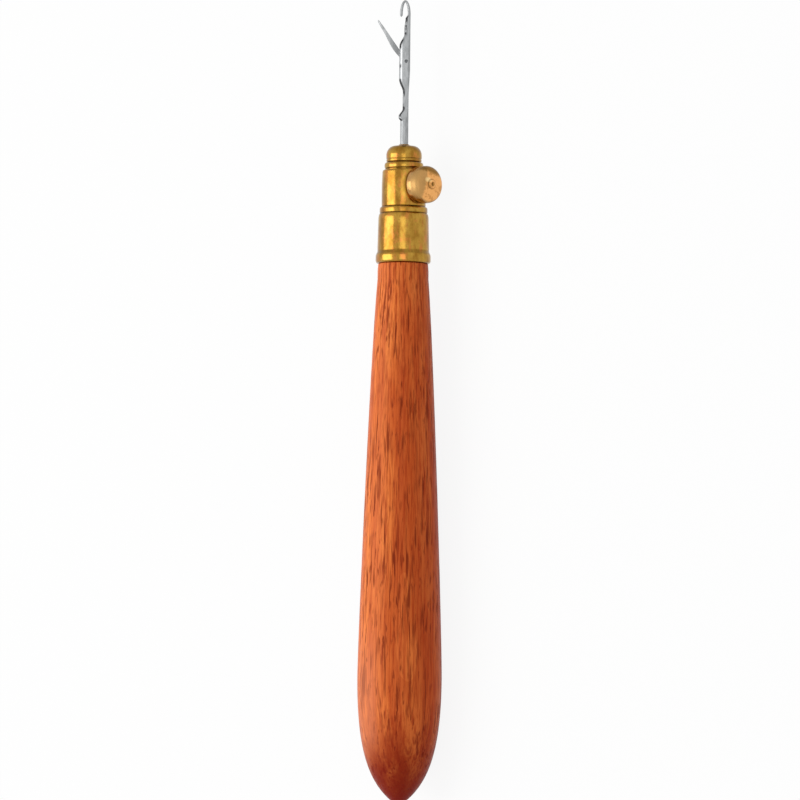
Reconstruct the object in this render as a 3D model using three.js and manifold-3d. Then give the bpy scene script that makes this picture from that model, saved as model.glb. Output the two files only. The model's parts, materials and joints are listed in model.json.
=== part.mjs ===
// Bead embroidery hook: a turned wooden handle, a brass needle holder with a thumb screw, and a steel latch needle.
// Millimetres. The tool's axis is +Y, from the butt of the handle at the origin to the tip of the hook.
// +Z is up with the tool lying on a table, and the thumb screw points along +X.
import * as THREE from "three";
import { mergeVertices } from "three/addons/utils/BufferGeometryUtils.js";
import Module from "manifold-3d";

const wasm = await Module();
wasm.setup();

// Handle, turned from one piece of wood
const HANDLE_LENGTH = 96.65;
const BUTT_FLAT_RADIUS = 1.1;
const BUTT_ROUND_OUT = 4.75;
const BUTT_ROUND_UP = 3.75;
const BULGE_RADIUS = 7.57;
const BULGE_STATION = 22.5;
const BULGE_RUN_DOWN = 12;
const BULGE_RUN_UP = 6;
const NECK_RADIUS = 4.58;
const NECK_LENGTH = 2.8;
const NECK_FLARE = 1.12;
const NECK_RUN = 13;
const TENON_RADIUS = 3.9;

// Brass ferrule, a drawn cup with a rolled bead at its open end
const FERRULE_RADIUS = 4.65;
const FERRULE_TOP_RADIUS = 4.53;
const FERRULE_LENGTH = 9.02;
const FERRULE_WEB = 1.35;
const FERRULE_LIP_RADIUS = 4.12;
const FERRULE_LIP_HEIGHT = 0.8;
const BEAD_RADIUS = 4.95;
const BEAD_LENGTH = 1.5;
const BEAD_ROUND = 0.4;
const COVE_LENGTH = 1.2;

// Brass ring between the ferrule and the holder
const RING_RADIUS = 4.3;
const RING_THICKNESS = 1.13;

// Brass needle holder: barrel, shoulder and the tang that is set in the handle
const BARREL_RADIUS = 3.96;
const BARREL_TOP_RADIUS = 3.85;
const BARREL_LENGTH = 6.67;
const BARREL_EDGE = 0.12;
const GROOVE_RADIUS = 3.42;
const GROOVE_WIDTH = 0.14;
const SHOULDER_RADIUS = 3.5;
const SHOULDER_LENGTH = 1.17;
const SHOULDER_ROUND = 0.6;
const TANG_RADIUS = 1.6;
const TANG_LENGTH = 24;

// Brass nose cap, pressed on the holder's spigot
const SPIGOT_RADIUS = 2.2;
const SPIGOT_LENGTH = 1.4;
const CAP_RADIUS = 3.2;
const CAP_FOOT_RADIUS = 2.8;
const CAP_FOOT_ROUND = 0.65;
const CAP_LENGTH = 2.97;
const CAP_DOME_HEIGHT = 1.75;
const CAP_FLAT_RADIUS = 1.75;
const MOUTH_LIP_RADIUS = 0.95;
const MOUTH_LIP_HEIGHT = 0.28;

// Thumb screw: a turned head riveted on a threaded shank
const SCREW_STATION = 3.7;
const THREAD_RADIUS = 1.25;
const SCREW_POINT_CHAMFER = 0.24;
const HEAD_RADIUS = 3.36;
const HEAD_THICKNESS = 3.25;
const HEAD_INNER_EDGE = 0.35;
const HEAD_OUTER_EDGE = 0.65;
const HEAD_DOME = 0.38;
const HEAD_STANDOFF = 0.1;
const RIVET_END_RADIUS = 0.7;
const PIP_RADIUS = 0.86;
const PIP_HEIGHT = 0.3;

// Latch needle: a round shank, flat cheeks with a slot for the latch, and a wire hook
const NEEDLE_TURN_DEGREES = 46.7;
const NEEDLE_RADIUS = 0.72;
const NEEDLE_INSERT = 16;
const NEEDLE_BUTT_CONE = 0.4;
const CHEEK_FRONT = 1.04;
const CHEEK_BACK = 0.95;
const CHEEK_THICKNESS = 1.24;
const CHEEK_CHAMFER = 0.16;
const CHEEK_LEAD = 0.6;
const SLOT_WIDTH = 0.48;
const RELIEF_FRONT = 0.34;
const RIVET_OFFSET = 0.23;
const NECK_FRONT = 0.05;
const WAIST_FRONT = 0.15;
const WIRE_RADIUS = 0.25;
const HOOK_HALF_WIDTH = 0.71;
const BEAK_TIP_LENGTH = 0.4;
const BEAK_TIP_RADIUS = 0.1;
const BEAK_STEP = 0.02;
const WIRE_STEP = 0.04;

// Lengths along the needle, from the nose of the holder to the top of the hook
const STEM_LENGTH = 4.38;
const LIP_LENGTH = 1.0;
const RELIEF_LENGTH = 6.6;
const RELIEF_LOWER_RUN = 1.3;
const RELIEF_UPPER_RUN = 2.2;
const CHEEK_BELOW_RIVET = 3.32;
const CHEEK_ABOVE_RIVET = 2.75;
const CHEEK_SLOPE_LENGTH = 2.3;
const WAIST_LENGTH = 2.73;
const THROAT_RISE = 0.72;
const HOOK_HEIGHT = 2.6;

// Latch: an eye on the rivet, a blade with a belly, and a spoon that covers the beak
const LATCH_REST_DEGREES = 34.5;
const LATCH_THICKNESS = 0.38;
const LATCH_EYE_RADIUS = 0.5;
const LATCH_INNER_EDGE = 0.18;
const LATCH_BELLY = 0.73;
const LATCH_BELLY_STATION = 3.2;
const LATCH_BLEND_LENGTH = 1.9;
const LATCH_TIP_EDGE = 0.24;
const SPOON_REACH = 0.45;
const SPOON_LENGTH = 1.4;
const SPOON_WIDTH = 0.96;
const SPOON_WALL = 0.25;
const LATCH_PIN_RADIUS = 0.27;

// Clearances
const SEAT_GAP = 0.05;
const FIT_GAP = 0.05;
const RUNNING_GAP = 0.06;
const SLIDE_GAP = 0.06;

// Facets round each turned shape, and steps along each curve
const LARGE_ROUND = 40;
const SMALL_ROUND = 24;
const WIRE_ROUND = 12;
const WIRE_STEPS = 36;
const EGG_ROUND = 16;
const EGG_STEPS = 10;
const HANDLE_STEPS = 10;
const EDGE_STEPS = 4;
const ARC_STEPS = 6;
const WELD_DISTANCE = 1e-4;

// Stations along the tool, each built on the one below it
const ferruleBase = HANDLE_LENGTH + SEAT_GAP;
const ferruleTop = ferruleBase + FERRULE_LENGTH;
const ferruleWebBase = ferruleTop - FERRULE_WEB;
const tenonTop = ferruleWebBase - SEAT_GAP;
const ringBase = ferruleTop + SEAT_GAP;
const ringTop = ringBase + RING_THICKNESS;
const barrelBase = ringTop + SEAT_GAP;
const barrelTop = barrelBase + BARREL_LENGTH;
const shoulderBase = barrelTop + GROOVE_WIDTH;
const shoulderTop = shoulderBase + SHOULDER_LENGTH;
const capBase = shoulderTop + SEAT_GAP;
const noseFace = capBase + CAP_LENGTH;
const screwLevel = barrelBase + SCREW_STATION;
const tangBase = barrelBase - TANG_LENGTH;
const needleButt = noseFace - NEEDLE_INSERT;
const stemTop = noseFace + STEM_LENGTH;
const reliefBase = stemTop + LIP_LENGTH;
const reliefTop = reliefBase + RELIEF_LENGTH;
const rivetLevel = reliefTop + CHEEK_BELOW_RIVET;
const slopeBase = rivetLevel + CHEEK_ABOVE_RIVET;
const slopeTop = slopeBase + CHEEK_SLOPE_LENGTH;
const throatLevel = slopeTop + WAIST_LENGTH;
const hookLevel = throatLevel + THROAT_RISE;

const wood = new THREE.MeshStandardMaterial({ color: 0xb8562a, roughness: 0.4, metalness: 0 });
const brass = new THREE.MeshStandardMaterial({ color: 0xc0923f, roughness: 0.3, metalness: 1 });
const screwBrass = new THREE.MeshStandardMaterial({ color: 0xc89a58, roughness: 0.28, metalness: 1 });
const steel = new THREE.MeshStandardMaterial({ color: 0xa9abad, roughness: 0.25, metalness: 1 });
const pinSteel = new THREE.MeshStandardMaterial({ color: 0x77797b, roughness: 0.35, metalness: 1 });

function corner(x, y) {
  return new THREE.Vector2(x, y);
}

// A turned solid about +Y from a profile of radius and station pairs.
function turned(profile, segments) {
  return new THREE.LatheGeometry(profile, segments);
}

// A plate of the given thickness, centred on the needle's own plane, with its edges chamfered.
function plate(outline, thickness, chamfer = 0) {
  const geometry = new THREE.ExtrudeGeometry(new THREE.Shape(outline), {
    depth: thickness - 2 * chamfer,
    bevelEnabled: chamfer > 0,
    bevelThickness: chamfer,
    bevelSize: chamfer,
    bevelOffset: -chamfer,
    bevelSegments: 1,
    curveSegments: ARC_STEPS,
  });
  return geometry.translate(0, 0, chamfer - thickness / 2);
}

function solidOf(geometry) {
  const bare = geometry.clone();
  bare.deleteAttribute("normal");
  bare.deleteAttribute("uv");
  const welded = mergeVertices(bare, WELD_DISTANCE);
  return new wasm.Manifold(
    new wasm.Mesh({
      numProp: 3,
      vertProperties: new Float32Array(welded.attributes.position.array),
      triVerts: new Uint32Array(welded.index.array),
    }),
  );
}

function geometryOf(solid) {
  const { vertProperties, triVerts } = solid.getMesh();
  const geometry = new THREE.BufferGeometry();
  geometry.setAttribute("position", new THREE.BufferAttribute(vertProperties, 3));
  geometry.setIndex(new THREE.BufferAttribute(triVerts, 1));
  geometry.computeVertexNormals();
  return geometry;
}

function part(name, geometry, material) {
  const mesh = new THREE.Mesh(geometry, material);
  mesh.name = name;
  return mesh;
}

// Points between two corners on a quarter round that leaves the first corner radially or lengthwise.
function quarterRound(from, to, leavesRadially) {
  const points = [];
  for (let i = 1; i < EDGE_STEPS; i++) {
    const turn = (Math.PI / 2) * (i / EDGE_STEPS);
    const across = leavesRadially ? Math.sin(turn) : 1 - Math.cos(turn);
    const along = leavesRadially ? 1 - Math.cos(turn) : Math.sin(turn);
    points.push(corner(from.x + (to.x - from.x) * across, from.y + (to.y - from.y) * along));
  }
  return points;
}

function makeHandle() {
  const bulge = corner(BULGE_RADIUS, BULGE_STATION);
  const neckStation = HANDLE_LENGTH - NECK_LENGTH;
  const butt = new THREE.CubicBezierCurve(
    corner(BUTT_FLAT_RADIUS, 0),
    corner(BUTT_FLAT_RADIUS + BUTT_ROUND_OUT, BUTT_ROUND_UP),
    corner(BULGE_RADIUS, BULGE_STATION - BULGE_RUN_DOWN),
    bulge,
  );
  const taper = new THREE.CubicBezierCurve(
    bulge,
    corner(BULGE_RADIUS, BULGE_STATION + BULGE_RUN_UP),
    corner(NECK_RADIUS + NECK_FLARE, neckStation - NECK_RUN),
    corner(NECK_RADIUS, neckStation),
  );
  const socketRadius = TANG_RADIUS + FIT_GAP;
  const socketFloor = tangBase - SEAT_GAP;
  return turned(
    [
      corner(0, 0),
      ...butt.getPoints(HANDLE_STEPS),
      ...taper.getPoints(HANDLE_STEPS).slice(1),
      corner(NECK_RADIUS, HANDLE_LENGTH),
      corner(TENON_RADIUS, HANDLE_LENGTH),
      corner(TENON_RADIUS, tenonTop),
      corner(socketRadius, tenonTop),
      corner(socketRadius, socketFloor),
      corner(0, socketFloor),
    ],
    LARGE_ROUND,
  );
}

function makeFerrule() {
  const bore = TENON_RADIUS + FIT_GAP;
  const tangHole = TANG_RADIUS + FIT_GAP;
  const beadTop = ferruleBase + BEAD_LENGTH;
  const lipBase = corner(FERRULE_TOP_RADIUS, ferruleTop - FERRULE_LIP_HEIGHT);
  const lipTop = corner(FERRULE_LIP_RADIUS, ferruleTop);
  const beadFoot = corner(FERRULE_RADIUS, ferruleBase);
  const beadLow = corner(BEAD_RADIUS, ferruleBase + BEAD_ROUND);
  const beadHigh = corner(BEAD_RADIUS, beadTop);
  const coveMiddle = corner((BEAD_RADIUS + FERRULE_RADIUS) / 2, beadTop + COVE_LENGTH / 3);
  const coveEnd = corner(FERRULE_RADIUS, beadTop + COVE_LENGTH);
  const start = corner(bore, ferruleBase);
  return turned(
    [
      start,
      beadFoot,
      ...quarterRound(beadFoot, beadLow, true),
      beadLow,
      beadHigh,
      ...quarterRound(beadHigh, coveMiddle, false),
      coveMiddle,
      ...quarterRound(coveMiddle, coveEnd, true),
      coveEnd,
      lipBase,
      ...quarterRound(lipBase, lipTop, false),
      lipTop,
      corner(tangHole, ferruleTop),
      corner(tangHole, ferruleWebBase),
      corner(bore, ferruleWebBase),
      start,
    ],
    LARGE_ROUND,
  );
}

function makeCollarRing() {
  const bore = TANG_RADIUS + FIT_GAP;
  const rim = RING_THICKNESS / 2;
  const shoulder = RING_RADIUS - rim;
  const crest = corner(RING_RADIUS, ringBase + rim);
  const lower = corner(shoulder, ringBase);
  const upper = corner(shoulder, ringTop);
  const start = corner(bore, ringBase);
  return turned(
    [
      start,
      lower,
      ...quarterRound(lower, crest, true),
      crest,
      ...quarterRound(crest, upper, false),
      upper,
      corner(bore, ringTop),
      start,
    ],
    LARGE_ROUND,
  );
}

function makeHolder() {
  const bore = NEEDLE_RADIUS + SLIDE_GAP;
  const boreFloor = needleButt - SEAT_GAP;
  const spigotTop = shoulderTop + SPIGOT_LENGTH;
  const shoulderSide = corner(SHOULDER_RADIUS, shoulderTop - SHOULDER_ROUND);
  const shoulderRim = corner(SHOULDER_RADIUS - SHOULDER_ROUND, shoulderTop);
  const body = turned(
    [
      corner(0, tangBase),
      corner(TANG_RADIUS, tangBase),
      corner(TANG_RADIUS, barrelBase),
      corner(BARREL_RADIUS - BARREL_EDGE, barrelBase),
      corner(BARREL_RADIUS, barrelBase + BARREL_EDGE),
      corner(BARREL_RADIUS, screwLevel),
      corner(BARREL_TOP_RADIUS, barrelTop - BARREL_EDGE),
      corner(BARREL_TOP_RADIUS - BARREL_EDGE, barrelTop),
      corner(GROOVE_RADIUS, barrelTop),
      corner(GROOVE_RADIUS, shoulderBase),
      corner(SHOULDER_RADIUS, shoulderBase + BARREL_EDGE),
      shoulderSide,
      ...quarterRound(shoulderSide, shoulderRim, false),
      shoulderRim,
      corner(SPIGOT_RADIUS, shoulderTop),
      corner(SPIGOT_RADIUS, spigotTop),
      corner(bore, spigotTop),
      corner(bore, boreFloor),
      corner(0, boreFloor),
    ],
    LARGE_ROUND,
  );
  const threadHole = new THREE.CylinderGeometry(
    THREAD_RADIUS + RUNNING_GAP,
    THREAD_RADIUS + RUNNING_GAP,
    BARREL_RADIUS + FIT_GAP,
    SMALL_ROUND,
  );
  threadHole.rotateZ(-Math.PI / 2);
  threadHole.translate((BARREL_RADIUS + FIT_GAP) / 2, screwLevel, 0);
  return geometryOf(solidOf(body).subtract(solidOf(threadHole)));
}

function makeNoseCap() {
  const bore = NEEDLE_RADIUS + SLIDE_GAP;
  const counterbore = SPIGOT_RADIUS + FIT_GAP;
  const counterboreTop = shoulderTop + SPIGOT_LENGTH + SEAT_GAP;
  const foot = corner(CAP_FOOT_RADIUS, capBase);
  const belly = corner(CAP_RADIUS, capBase + CAP_FOOT_ROUND);
  const domeBase = corner(CAP_RADIUS, noseFace - CAP_DOME_HEIGHT);
  const domeTop = corner(CAP_FLAT_RADIUS, noseFace);
  const start = corner(counterbore, capBase);
  return turned(
    [
      start,
      foot,
      ...quarterRound(foot, belly, true),
      belly,
      domeBase,
      ...quarterRound(domeBase, domeTop, false),
      domeTop,
      corner(MOUTH_LIP_RADIUS, noseFace),
      corner(MOUTH_LIP_RADIUS, noseFace + MOUTH_LIP_HEIGHT),
      corner(bore, noseFace + MOUTH_LIP_HEIGHT),
      corner(bore, counterboreTop),
      corner(counterbore, counterboreTop),
      start,
    ],
    LARGE_ROUND,
  );
}

// The thumb screw's pieces are turned about +Y and laid along +X by the group that holds them.
const headInner = BARREL_RADIUS + HEAD_STANDOFF;
const headOuter = headInner + HEAD_THICKNESS;

function makeScrewShank() {
  const tip = NEEDLE_RADIUS + SLIDE_GAP / 2;
  const pipBase = headOuter + SEAT_GAP;
  return turned(
    [
      corner(0, tip),
      corner(THREAD_RADIUS - SCREW_POINT_CHAMFER, tip),
      corner(THREAD_RADIUS, tip + SCREW_POINT_CHAMFER),
      corner(THREAD_RADIUS, headInner - SEAT_GAP),
      corner(RIVET_END_RADIUS, headInner - SEAT_GAP),
      corner(RIVET_END_RADIUS, pipBase),
      corner(PIP_RADIUS, pipBase),
      corner(PIP_RADIUS, pipBase + PIP_HEIGHT / 2),
      corner(PIP_RADIUS / 2, pipBase + PIP_HEIGHT),
      corner(0, pipBase + PIP_HEIGHT),
    ],
    SMALL_ROUND,
  );
}

function makeScrewHead() {
  const bore = RIVET_END_RADIUS + RUNNING_GAP;
  const rimInner = corner(HEAD_RADIUS - HEAD_INNER_EDGE, headInner);
  const sideInner = corner(HEAD_RADIUS, headInner + HEAD_INNER_EDGE);
  const sideOuter = corner(HEAD_RADIUS, headOuter - HEAD_DOME - HEAD_OUTER_EDGE);
  const rimOuter = corner(HEAD_RADIUS - HEAD_OUTER_EDGE, headOuter - HEAD_DOME);
  const faceEdge = corner(PIP_RADIUS + FIT_GAP, headOuter);
  const start = corner(bore, headInner);
  return turned(
    [
      start,
      rimInner,
      ...quarterRound(rimInner, sideInner, true),
      sideInner,
      sideOuter,
      ...quarterRound(sideOuter, rimOuter, false),
      rimOuter,
      corner((rimOuter.x + faceEdge.x) / 2, headOuter - HEAD_DOME / 4),
      faceEdge,
      corner(bore, headOuter),
      start,
    ],
    LARGE_ROUND,
  );
}

// The wire runs up the stem, then round half an ellipse to the beak.
class HookLine extends THREE.Curve {
  getPoint(t, target = new THREE.Vector3()) {
    const stemLength = hookLevel - slopeTop;
    const archHeight = HOOK_HEIGHT - WIRE_RADIUS;
    const stemShare = stemLength / (stemLength + 2 * archHeight);
    if (t <= stemShare) {
      return target.set(HOOK_HALF_WIDTH, slopeTop + stemLength * (t / stemShare), 0);
    }
    const turn = Math.PI * ((t - stemShare) / (1 - stemShare));
    return target.set(HOOK_HALF_WIDTH * Math.cos(turn), hookLevel + archHeight * Math.sin(turn), 0);
  }
}

function makeHookWire() {
  const section = new THREE.Shape();
  section.absarc(0, 0, WIRE_RADIUS, 0, 2 * Math.PI);
  const wire = new THREE.ExtrudeGeometry(section, {
    steps: WIRE_STEPS,
    curveSegments: WIRE_ROUND,
    extrudePath: new HookLine(),
  });
  const beakRoot = WIRE_RADIUS - BEAK_STEP;
  const beak = turned(
    [
      corner(0, -BEAK_TIP_LENGTH),
      corner(BEAK_TIP_RADIUS, BEAK_TIP_RADIUS / 2 - BEAK_TIP_LENGTH),
      corner(beakRoot, -BEAK_STEP),
      corner(beakRoot, beakRoot),
      corner(0, beakRoot),
    ],
    WIRE_ROUND,
  );
  beak.translate(-HOOK_HALF_WIDTH, hookLevel, 0);
  return solidOf(wire).add(solidOf(beak));
}

// The needle's head seen from the side, in the needle's plane, with the hook opening towards -x.
function headSide() {
  const wireFront = HOOK_HALF_WIDTH - WIRE_RADIUS;
  const halfRelief = (CHEEK_FRONT + RELIEF_FRONT) / 2;
  const halfSlope = (CHEEK_FRONT + WAIST_FRONT) / 2;
  return [
    corner(-NEEDLE_RADIUS / 2, stemTop - CHEEK_LEAD),
    corner(NEEDLE_RADIUS / 2, stemTop - CHEEK_LEAD),
    corner(NEEDLE_RADIUS, stemTop + CHEEK_LEAD / 2),
    corner(NEEDLE_RADIUS, reliefBase + RELIEF_LENGTH / 2),
    corner(CHEEK_BACK, rivetLevel - CHEEK_BELOW_RIVET / 3),
    corner(CHEEK_BACK, hookLevel - THROAT_RISE / 2),
    corner(wireFront + WIRE_STEP, hookLevel),
    corner(NECK_FRONT, throatLevel),
    corner(NECK_FRONT, slopeTop + WAIST_LENGTH / 2),
    corner(-WAIST_FRONT, slopeTop + WAIST_LENGTH / 3),
    corner(-WAIST_FRONT, slopeTop),
    corner(-halfSlope, slopeBase + CHEEK_SLOPE_LENGTH / 2),
    corner(-CHEEK_FRONT, slopeBase),
    corner(-CHEEK_FRONT, reliefTop),
    corner(-halfRelief, reliefTop - RELIEF_UPPER_RUN / 2),
    corner(-RELIEF_FRONT, reliefTop - RELIEF_UPPER_RUN),
    corner(-RELIEF_FRONT, reliefBase + RELIEF_LOWER_RUN),
    corner(-halfRelief, reliefBase + RELIEF_LOWER_RUN / 2),
    corner(-CHEEK_FRONT, reliefBase),
    corner(-CHEEK_FRONT, stemTop + LIP_LENGTH / 2),
    corner(-NEEDLE_RADIUS, stemTop + LIP_LENGTH / 4),
  ];
}

// The head seen from the front: nearly as wide as the shank, then drawn in to the wire.
function headFront() {
  const half = CHEEK_THICKNESS / 2;
  const top = WIRE_RADIUS + BEAK_STEP;
  return [
    corner(-half, stemTop - 2 * CHEEK_LEAD),
    corner(half, stemTop - 2 * CHEEK_LEAD),
    corner(half, slopeBase),
    corner(top, hookLevel),
    corner(-top, hookLevel),
    corner(-half, slopeBase),
  ];
}

// The slot that the latch swings in is deepest beside the rivet and runs out at both ends.
function slotSide() {
  const floor = RIVET_OFFSET + LATCH_EYE_RADIUS + RUNNING_GAP;
  const mouth = -2 * CHEEK_FRONT;
  const lowest = rivetLevel - 2 * LATCH_BELLY_STATION;
  return [
    corner(mouth, lowest),
    corner(-NECK_FRONT, lowest),
    corner(LATCH_BELLY, rivetLevel - LATCH_BELLY_STATION),
    corner(floor, rivetLevel - 2 * LATCH_EYE_RADIUS),
    corner(floor, rivetLevel + 2 * LATCH_EYE_RADIUS),
    corner(LATCH_INNER_EDGE, slopeBase + CHEEK_SLOPE_LENGTH / 4),
    corner(-NECK_FRONT, slopeTop),
    corner(mouth, slopeTop),
  ];
}

function makeNeedle() {
  const shankTop = stemTop + 2 * CHEEK_LEAD;
  const shank = turned(
    [
      corner(0, needleButt),
      corner(NEEDLE_RADIUS - NEEDLE_BUTT_CONE, needleButt),
      corner(NEEDLE_RADIUS, needleButt + NEEDLE_BUTT_CONE),
      corner(NEEDLE_RADIUS, stemTop),
      corner(NEEDLE_RADIUS / 2, shankTop),
      corner(0, shankTop),
    ],
    SMALL_ROUND,
  );
  const side = plate(headSide(), CHEEK_THICKNESS, CHEEK_CHAMFER);
  const across = 2 * (CHEEK_FRONT + CHEEK_BACK);
  const front = plate(headFront(), across).rotateY(Math.PI / 2);
  const slot = plate(slotSide(), SLOT_WIDTH);
  const pinHole = pinCylinder(LATCH_PIN_RADIUS + FIT_GAP, 2 * CHEEK_THICKNESS);
  pinHole.translate(RIVET_OFFSET, rivetLevel, 0);
  const head = solidOf(side).intersect(solidOf(front));
  const whole = head.add(solidOf(shank)).add(makeHookWire());
  return geometryOf(whole.subtract(solidOf(slot)).subtract(solidOf(pinHole)));
}

// A round bar across the needle's plane.
function pinCylinder(radius, length) {
  return new THREE.CylinderGeometry(radius, radius, length, WIRE_ROUND).rotateX(Math.PI / 2);
}

const latchLength =
  Math.hypot(HOOK_HALF_WIDTH + RIVET_OFFSET, hookLevel - rivetLevel) + SPOON_REACH;
const spoonMiddle = latchLength - SPOON_LENGTH / 2;

// The latch stands along +Y from its eye at the origin. Its belly is on the -x side, away from the hook.
function latchSide() {
  const bladeTop = spoonMiddle;
  const beforeSpoon = (LATCH_BELLY_STATION + bladeTop) / 2;
  const thinEdge = (LATCH_BELLY + LATCH_TIP_EDGE) / 2;
  const outline = new THREE.Shape();
  outline.absarc(0, 0, LATCH_EYE_RADIUS, Math.PI, 2 * Math.PI);
  outline.quadraticCurveTo(
    LATCH_EYE_RADIUS, LATCH_BLEND_LENGTH / 2, LATCH_INNER_EDGE, LATCH_BLEND_LENGTH,
  );
  outline.lineTo(LATCH_INNER_EDGE, beforeSpoon);
  outline.lineTo(LATCH_INNER_EDGE - BEAK_STEP, bladeTop);
  outline.lineTo(-LATCH_TIP_EDGE, bladeTop);
  outline.lineTo(-thinEdge, beforeSpoon);
  outline.lineTo(-LATCH_BELLY, LATCH_BELLY_STATION);
  outline.quadraticCurveTo(-LATCH_BELLY, LATCH_BLEND_LENGTH / 2, -LATCH_EYE_RADIUS, 0);
  return outline.getPoints(ARC_STEPS);
}

// An egg with the spoon's length and width as given, for the spoon and for the hollow in it.
function egg(length, width, depth) {
  const ball = new THREE.SphereGeometry(1, EGG_ROUND, EGG_STEPS).rotateX(Math.PI / 2);
  return ball.scale(depth / 2, length / 2, width / 2);
}

function makeLatch() {
  const blade = plate(latchSide(), LATCH_THICKNESS);
  const depth = LATCH_INNER_EDGE + LATCH_TIP_EDGE;
  const spoon = egg(SPOON_LENGTH, SPOON_WIDTH, depth);
  spoon.translate((LATCH_INNER_EDGE - LATCH_TIP_EDGE) / 2, spoonMiddle, 0);
  const rim = SPOON_WALL / 2;
  const hollow = egg(SPOON_LENGTH - 2 * rim, SPOON_WIDTH - 2 * rim, 2 * (depth - SPOON_WALL));
  hollow.translate(LATCH_INNER_EDGE, spoonMiddle, 0);
  const eyeHole = pinCylinder(LATCH_PIN_RADIUS + FIT_GAP, 2 * LATCH_THICKNESS);
  const whole = solidOf(blade).add(solidOf(spoon));
  return geometryOf(whole.subtract(solidOf(hollow)).subtract(solidOf(eyeHole)));
}

const tool = new THREE.Group();
tool.add(part("handle", makeHandle(), wood));
tool.add(part("ferrule", makeFerrule(), brass));
tool.add(part("collar_ring", makeCollarRing(), brass));
tool.add(part("needle_holder", makeHolder(), brass));
tool.add(part("nose_cap", makeNoseCap(), brass));

const thumbScrew = new THREE.Group();
thumbScrew.position.set(0, screwLevel, 0);
thumbScrew.rotation.z = -Math.PI / 2;
thumbScrew.add(part("thumb_screw_shank", makeScrewShank(), screwBrass));
thumbScrew.add(part("thumb_screw_head", makeScrewHead(), screwBrass));
tool.add(thumbScrew);

const needleSet = new THREE.Group();
needleSet.rotation.y = THREE.MathUtils.degToRad(NEEDLE_TURN_DEGREES);
needleSet.add(part("latch_needle", makeNeedle(), steel));
const latchPivot = new THREE.Group();
latchPivot.position.set(RIVET_OFFSET, rivetLevel, 0);
latchPivot.add(part("latch_rivet", pinCylinder(LATCH_PIN_RADIUS, CHEEK_THICKNESS), pinSteel));
const latch = part("latch", makeLatch(), steel);
latch.rotation.z = THREE.MathUtils.degToRad(LATCH_REST_DEGREES);
latchPivot.add(latch);
needleSet.add(latchPivot);
tool.add(needleSet);

export default tool;
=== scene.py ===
# A bead embroidery hook on a pale table: lacquered wooden handle, turned brass fittings with a thumb screw,
# and a steel latch needle. Shapes are drawn in millimetres and made in metres.
import json
import math

import bpy
from mathutils import Matrix, Vector


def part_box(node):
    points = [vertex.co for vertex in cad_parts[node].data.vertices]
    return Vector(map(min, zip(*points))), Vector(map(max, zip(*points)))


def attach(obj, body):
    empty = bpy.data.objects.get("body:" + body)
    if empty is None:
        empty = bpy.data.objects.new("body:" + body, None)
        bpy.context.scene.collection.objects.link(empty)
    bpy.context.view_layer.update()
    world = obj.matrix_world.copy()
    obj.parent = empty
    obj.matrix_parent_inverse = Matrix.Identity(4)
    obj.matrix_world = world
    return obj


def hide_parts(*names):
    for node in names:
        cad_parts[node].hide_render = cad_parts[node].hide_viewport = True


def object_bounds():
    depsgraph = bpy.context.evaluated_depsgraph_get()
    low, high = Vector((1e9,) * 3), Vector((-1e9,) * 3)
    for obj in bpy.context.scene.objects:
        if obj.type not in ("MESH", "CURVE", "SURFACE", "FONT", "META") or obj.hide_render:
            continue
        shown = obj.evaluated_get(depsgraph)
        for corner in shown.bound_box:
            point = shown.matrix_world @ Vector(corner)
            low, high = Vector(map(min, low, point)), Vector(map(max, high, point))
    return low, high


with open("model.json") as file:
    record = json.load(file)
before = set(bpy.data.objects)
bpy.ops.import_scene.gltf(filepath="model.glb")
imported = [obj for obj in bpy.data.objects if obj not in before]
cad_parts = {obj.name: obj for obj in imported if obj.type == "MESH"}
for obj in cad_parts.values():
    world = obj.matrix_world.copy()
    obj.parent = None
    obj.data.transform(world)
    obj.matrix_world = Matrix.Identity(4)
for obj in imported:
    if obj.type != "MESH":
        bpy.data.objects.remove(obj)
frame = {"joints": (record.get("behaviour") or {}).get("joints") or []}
cad_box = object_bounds()

MM = 0.001
WELD = 0.002 * MM

# Facets round the wood, the brass, the screw, the fine steel and its eye and pin
WOOD_FACETS = 160
BRASS_FACETS = 128
SCREW_FACETS = 64
STEEL_FACETS = 40
EYE_FACETS = 48
PIN_FACETS = 32

# Edges flatter than this are shaded smooth
SMOOTH_UNDER = math.radians(30)

# How far a cutting shape reaches past the piece that it cuts, and how thick a cutting slab is
BEYOND = 1
SLAB = 4


def low(node):
    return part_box(node)[0] / MM


def high(node):
    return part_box(node)[1] / MM


# Stations along the tool, in millimetres, where the solids have them
ferrule_base, ferrule_top = low("ferrule").y, high("ferrule").y
ring_top = high("collar_ring").y
tang_base = low("needle_holder").y
cap_base, cap_top = low("nose_cap").y, high("nose_cap").y
needle_butt, hook_top = low("latch_needle").y, high("latch_needle").y
head_inner, head_outer = low("thumb_screw_head").x, high("thumb_screw_head").x
screw_tip, pip_top = low("thumb_screw_shank").x, high("thumb_screw_shank").x
joints = {joint["name"]: joint for joint in frame["joints"]}
screw_level = joints["screw_turn"]["pos_m"][1] / MM
rivet_level = joints["latch_swing"]["pos_m"][1] / MM
rivet_offset = math.hypot(joints["latch_swing"]["pos_m"][0], joints["latch_swing"]["pos_m"][2]) / MM
latch_axis = Vector(joints["latch_swing"]["axis"])
needle_turn = math.atan2(latch_axis.x, latch_axis.z)

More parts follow.
